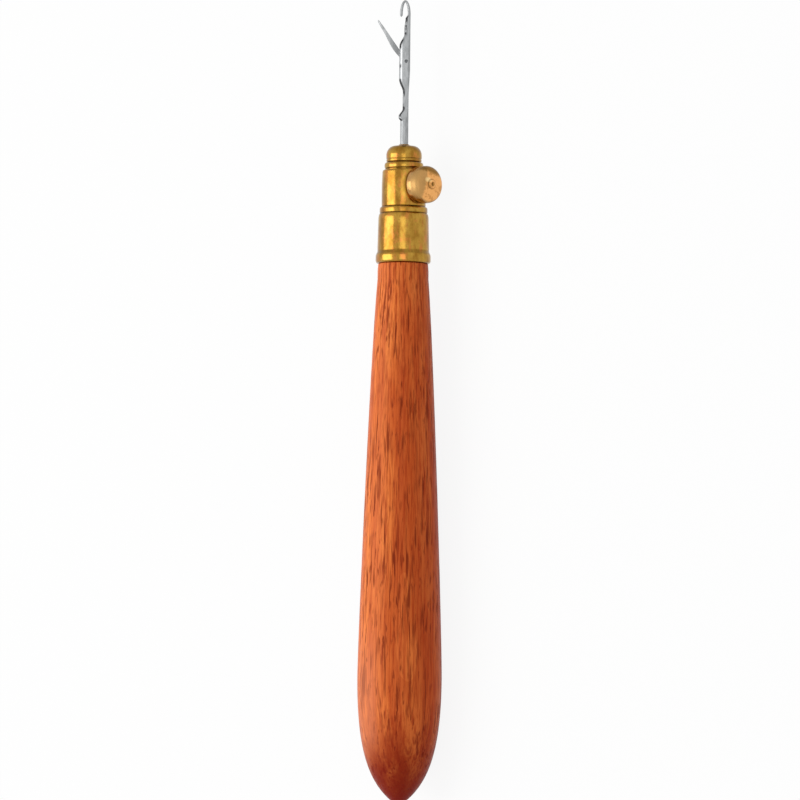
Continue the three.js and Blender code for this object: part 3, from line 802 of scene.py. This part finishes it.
def drawn_steel(name, dark, bright, roughness):
    """Steel wire with drawing lines along the needle, a painted highlight in a stripe of its cheek, and
    painted shade in blotches along its front edge.
    """
    steel = Finish(name)
    lines = steel.noise((9000, 420, 9000), detail=3, roughness=0.6)
    marks = steel.noise((2600, 700, 2600), detail=3, roughness=0.5)
    blotches = steel.noise((420, 640, 420), detail=2, roughness=0.5)
    turned_back = steel.add("ShaderNodeMapping", Vector=steel.place, Rotation=(0, -needle_turn, 0)).outputs[0]
    parts = steel.parts(turned_back)
    across = parts["X"]
    along = parts["Y"]

    # How far a point lies in from the needle's front edge, and whether that edge slopes there
    edge = -FRONTS[0][1] * MM
    slopes = 0.0
    for (start, before), (end, after) in zip(FRONTS, FRONTS[1:]):
        if before != after:
            rise = steel.spread(along, start * MM, end * MM, 0.0, (before - after) * MM)
            edge = steel.math("ADD", rise, edge)
            slope = steel.band(along, ((start - 0.5) * MM, start * MM), (end * MM, (end + 0.4) * MM))
            slopes = steel.math("MAXIMUM", slope, slopes)
    inwards = steel.math("SUBTRACT", across, edge)

    # Painted shade in blotches along the front edge, more on its slopes, from the lip to the throat
    blotches = steel.math("ADD", blotches, steel.math("MULTIPLY", steel.math("SUBTRACT", marks, 0.5), 0.35))
    painted_edge_shade = steel.spread(steel.math("ADD", blotches, steel.math("MULTIPLY", slopes, 0.15)), 0.52, 0.62)
    below_hook = steel.spread(along, throat_level * MM, hook_level * MM, 1.0, 0.0)
    painted_edge_shade = steel.math("MULTIPLY", painted_edge_shade, below_hook)
    painted_edge_shade = steel.math("MULTIPLY", painted_edge_shade, steel.spread(inwards, 0.32 * MM, 0.46 * MM, 1.0, 0.0))
    on_needle = steel.spread(inwards, -0.2 * MM, -0.05 * MM)
    on_head = steel.math("MULTIPLY", on_needle, steel.spread(along, stem_top * MM, lip_base * MM))
    painted_edge_shade = steel.math("MULTIPLY", painted_edge_shade, on_head)

    # A painted highlight in a stripe along the cheek
    painted_stripe = steel.band(inwards, (0.28 * MM, 0.36 * MM), (0.5 * MM, 0.6 * MM))
    cheek = steel.band(
        along,
        ((relief_top - 0.6) * MM, relief_top * MM),
        (slope_base * MM, (slope_base + 0.6) * MM),
    )
    painted_stripe = steel.math("MULTIPLY", steel.math("MULTIPLY", painted_stripe, cheek), 0.8)
    tone = steel.mix(steel.spread(marks, 0.36, 0.64), dark, bright)
    tone = steel.mix(steel.spread(lines, 0.35, 0.65, 0.0, 0.25), tone, dark)
    tone = steel.mix(painted_stripe, tone, PAINTED_HIGHLIGHT_STEEL)

    # The latch stands out from the needle: lighter towards its tip, darker at its root
    tone = steel.mix(steel.spread(across, -5.0 * MM, -2.4 * MM, 0.4, 0.0), tone, LATCH_TIP_TONE)
    root = steel.math(
        "MULTIPLY",
        steel.spread(across, -3.0 * MM, -1.6 * MM, 0.0, 0.6),
        steel.spread(across, -1.2 * MM, -1.05 * MM, 1.0, 0.0),
    )
    tone = steel.mix(root, tone, LATCH_ROOT_TONE)
    steel.set("Base Color", steel.mix(steel.math("MULTIPLY", painted_edge_shade, 0.92), tone, PAINTED_STEEL_EDGE_SHADE))
    steel.set("Metallic", 1.0)
    steel.set("Roughness", steel.spread(marks, 0.3, 0.7, roughness, roughness + 0.06))
    steel.set("Normal", steel.bump(lines, distance=0.003 * MM, strength=0.5))
    return steel.material


# Pieces


def make_handle():
    bulge = Vector((BULGE, BULGE_STATION))
    neck = Vector((NECK, handle_end - NECK_LENGTH))
    butt_edge = Vector((BUTT_FLAT, 0))
    butt = bezier(
        butt_edge,
        butt_edge + Vector((BUTT_OUT, BUTT_UP)),
        bulge - Vector((0, BULGE_RUN_DOWN)),
        bulge,
        steps=36,
    )
    taper = bezier(
        bulge,
        bulge + Vector((0, BULGE_RUN_UP)),
        neck + Vector((NECK_FLARE, -NECK_RUN)),
        neck,
        steps=40,
    )
    tenon_top = ferrule_top - WEB - SEAT
    socket = TANG + SEAT
    top = rounded(
        [
            (NECK, handle_end - NECK_END_LENGTH),
            (NECK_END, handle_end, NECK_END_ROUND),
            (TENON, handle_end),
            (TENON, tenon_top, TENON_ROUND),
            (socket, tenon_top),
            (socket, tang_base - SEAT),
            (0, tang_base - SEAT),
        ]
    )
    outline = [Vector((0, 0)), butt_edge, *butt, *taper, *top]
    return turned("handle_wood", outline, WOOD_FACETS)


def make_ferrule():
    bead_top = ferrule_base + BEAD_LENGTH
    web_base = ferrule_top - WEB
    bore = TENON + SEAT
    bead = rounded(
        [
            (bore, ferrule_base),
            (BEAD, ferrule_base, BEAD_ROUND),
            (BEAD, bead_top, BEAD_UPPER_ROUND),
            (BEAD - BEAD_FLARE, bead_top + 2 * BEAD_FLARE),
        ]
    )
    cove = bezier(
        bead[-1],
        bead[-1] + Vector((-BEAD_FLARE / 2, BEAD_FLARE)),
        Vector((FERRULE - TOUCH, bead_top + 0.8 * COVE_LENGTH)),
        Vector((FERRULE, bead_top + COVE_LENGTH)),
        steps=10,
    )
    lip_foot = Vector((FERRULE_UPPER, ferrule_top - FERRULE_LIP))
    lip = bezier(
        lip_foot,
        lip_foot + Vector((0, 0.6 * FERRULE_LIP)),
        Vector((FERRULE_UPPER - FERRULE_EDGE / 2, ferrule_top)),
        Vector((FERRULE_UPPER - FERRULE_EDGE, ferrule_top)),
        steps=14,
    )
    inside = [
        Vector((TANG + SEAT, ferrule_top)),
        Vector((TANG + SEAT, web_base)),
        Vector((bore, web_base)),
    ]
    return turned("ferrule_shell", bead + cove + [lip_foot] + lip + inside, BRASS_FACETS)


def make_collar_ring():
    bore = TANG + SEAT
    outline = rounded(
        [
            (bore, ferrule_top + TOUCH),
            (RING, ferrule_top + TOUCH, RING_LOWER_ROUND),
            (RING, barrel_base - TOUCH, RING_ROUND),
            (bore, barrel_base - TOUCH),
        ],
        steps=8,
    )
    return turned("collar_ring_brass", outline, BRASS_FACETS)


def make_holder():
    """The holder is turned with its tang, its spigot and its bore, and then drilled for the thumb screw."""
    spigot_top = shoulder_top + SPIGOT_LENGTH
    bore_floor = needle_butt - SEAT
    outline = rounded(
        [
            (0, tang_base),
            (TANG, tang_base, TANG_ROUND),
            (TANG, barrel_base),
            (BARREL, barrel_base, BARREL_FOOT_ROUND),
            (BARREL, screw_level),
            (BARREL_UPPER, barrel_top, BARREL_ROUND),
            (GROOVE, barrel_top),
            (GROOVE, barrel_top + GROOVE_WIDTH),
            (SHOULDER, barrel_top + GROOVE_WIDTH, SHOULDER_FOOT_ROUND),
            (SHOULDER, shoulder_top, SHOULDER_ROUND),
            (SPIGOT, shoulder_top),
            (SPIGOT, spigot_top),
            (BORE, spigot_top),
            (BORE, bore_floor),
            (0, bore_floor),
        ]
    )
    holder = turned("needle_holder_brass", outline, BRASS_FACETS)
    drill = turned(
        "drill",
        [
            Vector((0, 0)),
            Vector((SCREW_HOLE, 0)),
            Vector((SCREW_HOLE, BARREL - COUNTERSINK_DEPTH)),
            Vector((SCREW_HOLE + COUNTERSINK, BARREL)),
            Vector((SCREW_HOLE + COUNTERSINK, BARREL + BEYOND)),
            Vector((0, BARREL + BEYOND)),
        ],
        SCREW_FACETS,
    )
    lay_on_screw(drill)
    combine(holder, drill, "DIFFERENCE")
    return holder


def make_nose_cap():
    counterbore = SPIGOT + SEAT
    counterbore_top = shoulder_top + SPIGOT_LENGTH + SEAT
    ridge = CAP - CAP_LINE_DEPTH / 3
    line = cap_base + CAP_LINE
    foot_edge = Vector((CAP_FOOT, cap_base))
    foot = bezier(
        foot_edge,
        Vector((ridge - CAP_FOOT_ROUND / 3, cap_base)),
        Vector((ridge, cap_base + CAP_FOOT_ROUND / 3)),
        Vector((ridge, cap_base + CAP_FOOT_ROUND)),
        steps=8,
    )
    line_turned_in = rounded(
        [
            (ridge, line - 2 * CAP_LINE_DEPTH, CAP_RIDGE_ROUND),
            (CAP - CAP_LINE_DEPTH, line - CAP_LINE_DEPTH / 2, CAP_LINE_ROUND),
            (CAP - CAP_LINE_DEPTH, line + CAP_LINE_DEPTH / 2, CAP_LINE_ROUND),
            (CAP, line + 2 * CAP_LINE_DEPTH, CAP_RIDGE_ROUND),
        ],
        steps=3,
    )
    dome_edge = Vector((CAP, nose_face - CAP_DOME))
    dome = bezier(
        dome_edge,
        dome_edge + Vector((0, 0.55 * CAP_DOME)),
        Vector((CAP_FLAT + CAP_BROW, nose_face)),
        Vector((CAP_FLAT, nose_face)),
        steps=16,
    )
    mouth = rounded(
        [
            (CAP_FLAT, nose_face),
            (MOUTH + MOUTH_FOOT, nose_face, MOUTH_FOOT_ROUND),
            (MOUTH - MOUTH_DRAFT, cap_top, MOUTH_ROUND),
            (BORE, cap_top),
            (BORE, counterbore_top),
            (counterbore, counterbore_top),
        ]
    )
    start = [Vector((counterbore, cap_base)), foot_edge]
    outline = start + foot + line_turned_in + [dome_edge] + dome + mouth[1:]
    return turned("nose_cap_brass", outline, BRASS_FACETS)


def make_screw_shank():
    """The thread's section, drawn out and turned a little at each step, joined to the screw's riveted end."""
    core = THREAD - THREAD_DEPTH
    section = []
    for i in range(THREAD_STEPS):
        share = i / THREAD_STEPS
        height = min(1, min(share, 1 - share) / THREAD_FLANK)
        turn = 2 * math.pi * share
        section.append(Vector((math.cos(turn), math.sin(turn))) * (core + THREAD_DEPTH * height))
    shank = flat_face("thumb_screw_shank_brass", section)
    bpy.ops.transform.translate(value=(0, 0, screw_tip * MM))
    bpy.ops.transform.resize(value=(TIP_TAPER, TIP_TAPER, 1), center_override=(0, 0, 0))
    bpy.ops.mesh.extrude_region_move(TRANSFORM_OT_translate={"value": (0, 0, TIP_LENGTH * MM)})
    bpy.ops.transform.resize(value=(1 / TIP_TAPER, 1 / TIP_TAPER, 1), center_override=(0, 0, 0))
    thread_length = thread_end - screw_tip - TIP_LENGTH
    rings = round(thread_length / PITCH * THREAD_STEPS)
    rise = thread_length / rings * MM
    for i in range(rings):
        bpy.ops.mesh.extrude_region_move(TRANSFORM_OT_translate={"value": (0, 0, rise)})
        bpy.ops.transform.rotate(
            value=-2 * math.pi / THREAD_STEPS, orient_axis="Z", center_override=(0, 0, 0)
        )
    close_up()
    place(shank, Matrix.Translation((0, screw_level * MM, 0)) @ Matrix.Rotation(math.pi / 2, 4, "Y"))
    dent_floor = pip_top - 0.8 * DENT
    riveted_end = turned(
        "riveted_end",
        rounded(
            [
                (0, thread_end - RIVET_ROOT),
                (RIVET_END, thread_end - RIVET_ROOT),
                (RIVET_END, head_outer + PIP_FOOT),
                (PIP, head_outer + PIP_FOOT),
                (0.8 * PIP, pip_top, PIP_ROUND),
                (DENT, pip_top, DENT_ROUND),
                (0.3 * DENT, dent_floor, DENT_FLOOR_ROUND),
                (0, dent_floor),
            ]
        ),
        SCREW_FACETS,
    )
    lay_on_screw(riveted_end)
    combine(shank, riveted_end, "UNION")
    return shank


def make_screw_head():
    bore = RIVET_END + RIVET_GAP
    rim = head_outer - HEAD_DOME
    outline = rounded(
        [
            (bore, head_inner),
            (HEAD, head_inner, HEAD_INNER_ROUND),
            (HEAD, rim, HEAD_OUTER_ROUND),
            (0.55 * HEAD, head_outer - 0.2 * HEAD_DOME, HEAD_DOME_ROUND),
            (PIP + PIP_GAP, head_outer, HEAD_HOLE_ROUND),
            (bore, head_outer),
        ],
        steps=10,
    )
    head = turned("thumb_screw_head_brass", outline, BRASS_FACETS)
    lay_on_screw(head)
    return head


def needle_rings():
    """The needle ring by ring: its shank, its stem and cheeks, the bend of its wire, and its beak."""
    backs = [
        (relief_base + RELIEF_LENGTH / 2, SHANK),
        (rivet_level - CHEEK_RUN, CHEEK_BACK),
        (throat_level, CHEEK_BACK),
        (hook_level, HOOK_HALF + WIRE),
    ]
    depths = [
        (stem_top - SWELL_BELOW, SHANK),
        (stem_top + SWELL_ABOVE, CHEEK_DEPTH),
        (slope_base, CHEEK_DEPTH),
        (slope_top, WAIST_DEPTH),
        (hook_level, WIRE),
    ]
    rings = [edges_ring(size, size, size, needle_butt + rise) for rise, size in SHANK_END]
    rings.append(edges_ring(SHANK, SHANK, SHANK, nose_face))
    for station in stations(stem_top - RINGS_BELOW, hook_level, 96):
        rings.append(
            edges_ring(between(FRONTS, station), between(backs, station), between(depths, station), station)
        )
    height = hook_top - hook_level - WIRE
    for turn in stations(0, math.pi, 44)[1:]:
        thinned = WIRE * BEND_THINNING * math.sin(turn) ** 4
        middle = Vector((HOOK_HALF * math.cos(turn), hook_level + height * math.sin(turn) + thinned))
        lean = math.atan2(HOOK_HALF * math.sin(turn), height * math.cos(turn))
        rings.append((middle, WIRE - thinned, WIRE, lean))
    for share, radius in BEAK_TAPER:
        middle = Vector((-HOOK_HALF, hook_level - share * BEAK))
        rings.append((middle, radius, radius, math.pi))
    return rings


def make_needle():
    needle = drawn_out("latch_needle_steel", needle_rings())
    flats = side_slab(
        [
            (FLAT_UNCUT, needle_butt - BEYOND),
            (FLAT_UNCUT, stem_top - FLAT_BELOW),
            (CHEEK_HALF, stem_top + FLAT_ABOVE, FLAT_ROUND),
            (CHEEK_HALF, slope_base, FLAT_UPPER_ROUND),
            (WIRE + WIRE_CLEAR, throat_level, FLAT_ROUND),
            (WIRE + WIRE_CLEAR, hook_top + BEYOND),
        ]
    )
    combine(needle, flats, "INTERSECT")
    floor = rivet_offset + LATCH_EYE + SLOT_GAP
    slot_base = rivet_level - 2 * LATCH_BELLY_STATION
    slot = plate(
        "slot",
        rounded(
            [
                (-SLOT_REACH, slot_base),
                (-NECK_EDGE, slot_base, SLOT_ROUND),
                (floor, rivet_level - LATCH_BELLY_STATION, SLOT_FLOOR_ROUND),
                (floor, rivet_level + SLOT_ABOVE_RIVET, SLOT_UPPER_ROUND),
                (LATCH_INNER, slope_base + SLOPE_LENGTH / 4, SLOT_SLOPE_ROUND),
                (-WAIST_EDGE, slope_top - SLOT_TOP_DROP),
                (-SLOT_REACH, slope_top + SLOT_TOP_RISE),
            ]
        ),
        SLOT,
    )
    combine(needle, slot, "DIFFERENCE")
    combine(needle, rod(PIN_HOLE, SLAB, PIN_FACETS, rivet_offset, rivet_level), "DIFFERENCE")
    place(needle, Matrix.Rotation(needle_turn, 4, "Y"))
    return needle


def latch_seat():
    pivot = Matrix.Translation((rivet_offset * MM, rivet_level * MM, 0))
    return Matrix.Rotation(needle_turn, 4, "Y") @ pivot


def make_rivet():
    half = CHEEK_HALF - PIN_SUNK
    rivet = turned(
        "latch_rivet_steel",
        rounded([(0, -half), (PIN, -half, PIN_ROUND), (PIN, half, PIN_ROUND), (0, half)], steps=4),
        PIN_FACETS,
    )
    place(rivet, latch_seat() @ Matrix.Rotation(math.pi / 2, 4, "X"))
    return rivet


def make_latch():
    """The latch points up from its eye at the origin. It is hollowed like a spoon and then seated."""
    spoon_base = latch_length - SPOON_LENGTH
    blade_end = spoon_base - SPOON_LEAD
    tip_base = latch_length - LATCH_TIP_RUN
    inner = [
        (0.0, LATCH_ROOT_INNER),
        (LATCH_ROOT_LENGTH, LATCH_INNER),
        (tip_base, LATCH_INNER),
        (latch_length, LATCH_POINT_INNER),
    ]
    outer = [
        (0.0, LATCH_ROOT_OUTER),
        (LATCH_BELLY_STATION, LATCH_BELLY),
        (blade_end, LATCH_TIP + BLADE_SWELL),
        (tip_base, LATCH_TIP),
        (latch_length, LATCH_POINT_OUTER),
    ]
    depths = [
        (blade_end - SPOON_RUN, BLADE_HALF),
        (spoon_base + 0.45 * SPOON_LENGTH, SPOON_HALF),
        (latch_length - SPOON_END_RUN, SPOON_END_HALF),
        (latch_length, SPOON_POINT_HALF),
    ]
    rings = [
        edges_ring(between(outer, station), between(inner, station), between(depths, station), station)
        for station in stations(0, latch_length, 60)
    ]
    latch = drawn_out("latch_steel", rings)
    combine(latch, rod(LATCH_EYE, 2 * LATCH_HALF, EYE_FACETS), "UNION")
    blade = side_slab(
        [
            (LATCH_HALF, -BEYOND),
            (LATCH_HALF, blade_end - SPOON_FLARE_BELOW, SPOON_FLARE_ROUND),
            (SPOON_UNCUT, spoon_base + SPOON_FLARE_ABOVE),
            (SPOON_UNCUT, latch_length + BEYOND),
        ]
    )
    combine(latch, blade, "INTERSECT")
    bpy.ops.object.select_all(action="DESELECT")
    bpy.ops.mesh.primitive_uv_sphere_add(segments=32, ring_count=20, radius=MM)
    hollow = bpy.context.object
    reach = Matrix.Translation((LATCH_INNER * MM, (spoon_base + SPOON_LENGTH / 2) * MM, 0))
    place(hollow, reach @ Matrix.Diagonal(SPOON_HOLLOW))
    combine(latch, hollow, "DIFFERENCE")
    combine(latch, rod(PIN_HOLE, SLAB, PIN_FACETS), "DIFFERENCE")
    place(latch, latch_seat() @ Matrix.Rotation(LATCH_REST, 4, "Z"))
    return latch


# Table, light and camera, in metres

TABLE_SIZE = 4
TABLE_GREY = (0.7, 0.7, 0.7, 1)
WHITE = (1, 1, 1, 1)

# How bright the room is on the picture's right and on its left
DIM_SIDE = 0.56
BRIGHT_SIDE = 1.15

# The camera has a long lens, looks from a little below square to the tool, and is rolled a little
VIEW_DISTANCE = 2.0
VIEW_DROP = math.radians(4.2)
VIEW_ROLL = math.radians(0.5)
VIEW_SEEN = 143.63 * MM
VIEW_SHIFT = 0.35 * MM
SENSOR = 36
LENGTHWISE = Vector((0, 1, 0))
TOOL_MIDDLE = Vector((0, hook_top / 2 * MM, 0))
towards_view = Vector((math.sin(needle_turn), 0, math.cos(needle_turn)))
picture_right = Vector((math.cos(needle_turn), 0, -math.sin(needle_turn)))


def backdrop_white(node_tree, shader_output, amount):
    """The colour that the camera and mirror-like surfaces see, mixed over what lights the scene."""
    nodes = node_tree.nodes
    rays = nodes.new("ShaderNodeLightPath")
    seen = nodes.new("ShaderNodeMath")
    seen.operation = "MAXIMUM"
    node_tree.links.new(rays.outputs["Is Camera Ray"], seen.inputs[0])
    node_tree.links.new(rays.outputs["Is Glossy Ray"], seen.inputs[1])
    also = nodes.new("ShaderNodeMath")
    also.operation = "MAXIMUM"
    node_tree.links.new(seen.outputs[0], also.inputs[0])
    node_tree.links.new(rays.outputs["Is Transmission Ray"], also.inputs[1])
    share = nodes.new("ShaderNodeMath")
    share.operation = "MULTIPLY"
    share.inputs[1].default_value = amount
    node_tree.links.new(also.outputs[0], share.inputs[0])
    mix = nodes.new("ShaderNodeMixShader")
    node_tree.links.new(share.outputs[0], mix.inputs[0])
    node_tree.links.new(shader_output, mix.inputs[1])
    return mix


def make_table():
    bpy.ops.object.select_all(action="DESELECT")
    bpy.ops.mesh.primitive_plane_add(size=TABLE_SIZE, location=(0, 0, cad_box[0].z))
    table = bpy.context.object
    table.name = "table"
    bpy.ops.object.transform_apply(location=True, rotation=True, scale=True)
    material = bpy.data.materials.new("pale_table")
    material.use_nodes = True
    tree = material.node_tree
    shader = tree.nodes["Principled BSDF"]
    shader.inputs["Base Color"].default_value = TABLE_GREY
    shader.inputs["Roughness"].default_value = 0.9
    glow = tree.nodes.new("ShaderNodeEmission")
    mix = backdrop_white(tree, shader.outputs[0], amount=0.9)
    tree.links.new(glow.outputs[0], mix.inputs[2])
    tree.links.new(mix.outputs[0], tree.nodes["Material Output"].inputs["Surface"])
    table.data.materials.append(material)


def make_world():
    world = bpy.data.worlds.new("studio")
    world.use_nodes = True
    bpy.context.scene.world = world
    tree = world.node_tree
    lighting = tree.nodes["Background"]
    lighting.inputs["Color"].default_value = WHITE
    direction = tree.nodes.new("ShaderNodeTexCoord")
    leftwards = tree.nodes.new("ShaderNodeVectorMath")
    leftwards.operation = "DOT_PRODUCT"
    leftwards.inputs[1].default_value = -picture_right
    tree.links.new(direction.outputs["Generated"], leftwards.inputs[0])
    strength = tree.nodes.new("ShaderNodeMapRange")
    strength.inputs["From Min"].default_value = 0.0
    strength.inputs["From Max"].default_value = 1.0
    strength.inputs["To Min"].default_value = DIM_SIDE
    strength.inputs["To Max"].default_value = BRIGHT_SIDE
    tree.links.new(leftwards.outputs["Value"], strength.inputs["Value"])
    tree.links.new(strength.outputs["Result"], lighting.inputs["Strength"])
    white = tree.nodes.new("ShaderNodeBackground")
    white.inputs["Color"].default_value = WHITE
    mix = backdrop_white(tree, lighting.outputs[0], amount=1.0)
    tree.links.new(white.outputs[0], mix.inputs[2])
    tree.links.new(mix.outputs[0], tree.nodes["World Output"].inputs["Surface"])


def soft_box(name, swing, distance, width, length, energy):
    """A lamp swung about the tool, from the viewing side to the picture's left. Its length lies along it."""
    data = bpy.data.lights.new(name, "AREA")
    data.shape = "RECTANGLE"
    data.size = width
    data.size_y = length
    data.energy = energy
    lamp = bpy.data.objects.new(name, data)
    bpy.context.scene.collection.objects.link(lamp)
    away = towards_view * math.cos(swing) - picture_right * math.sin(swing)
    turn = Matrix((LENGTHWISE.cross(away), LENGTHWISE, away)).transposed()
    lamp.matrix_world = Matrix.Translation(TOOL_MIDDLE + away * distance) @ turn.to_4x4()
    lamp.visible_camera = False


def make_camera():
    """The view of the picture, facing the needle's flat side."""
    data = bpy.data.cameras.new("camera")
    data.sensor_width = SENSOR
    data.lens = SENSOR * VIEW_DISTANCE / VIEW_SEEN
    data.clip_start = 0.01
    camera = bpy.data.objects.new("camera", data)
    bpy.context.scene.collection.objects.link(camera)
    back = (towards_view * math.cos(VIEW_DROP) - LENGTHWISE * math.sin(VIEW_DROP)).normalized()
    up = (LENGTHWISE - back * back.y).normalized()
    up = Matrix.Rotation(VIEW_ROLL, 3, back) @ up
    right = up.cross(back)
    turn = Matrix((right, up, back)).transposed()
    aim = TOOL_MIDDLE - right * VIEW_SHIFT
    camera.matrix_world = Matrix.Translation(aim + back * VIEW_DISTANCE) @ turn.to_4x4()
    bpy.context.scene.camera = camera


ferrule_metal = ferrule_brass()
holder_metal = holder_brass()
screw_metal = screw_brass()
needle_steel = drawn_steel("needle_steel", *NEEDLE_TONES, roughness=0.42)
rivet_steel = drawn_steel("rivet_steel", *RIVET_TONES, roughness=0.4)

finish(make_handle(), "handle", "tool", lacquered_wood())
finish(make_ferrule(), "ferrule", "tool", ferrule_metal)
finish(make_collar_ring(), "collar_ring", "tool", ferrule_metal)
finish(make_holder(), "needle_holder", "tool", holder_metal)
finish(make_nose_cap(), "nose_cap", "tool", holder_metal)
finish(make_screw_shank(), "thumb_screw_shank", "screw_shank", screw_metal)
finish(make_screw_head(), "thumb_screw_head", "screw_head", screw_metal)
finish(make_needle(), "latch_needle", "needle", needle_steel)
finish(make_rivet(), "latch_rivet", "needle", rivet_steel)
finish(make_latch(), "latch", "latch", needle_steel)

make_table()
make_world()
soft_box("overhead", swing=math.radians(72), distance=0.6, width=0.54, length=0.4, energy=1.7)
soft_box("front", swing=math.radians(3), distance=0.7, width=0.3, length=0.4, energy=0.46)
make_camera()
bpy.context.scene.view_settings.view_transform = "Standard"
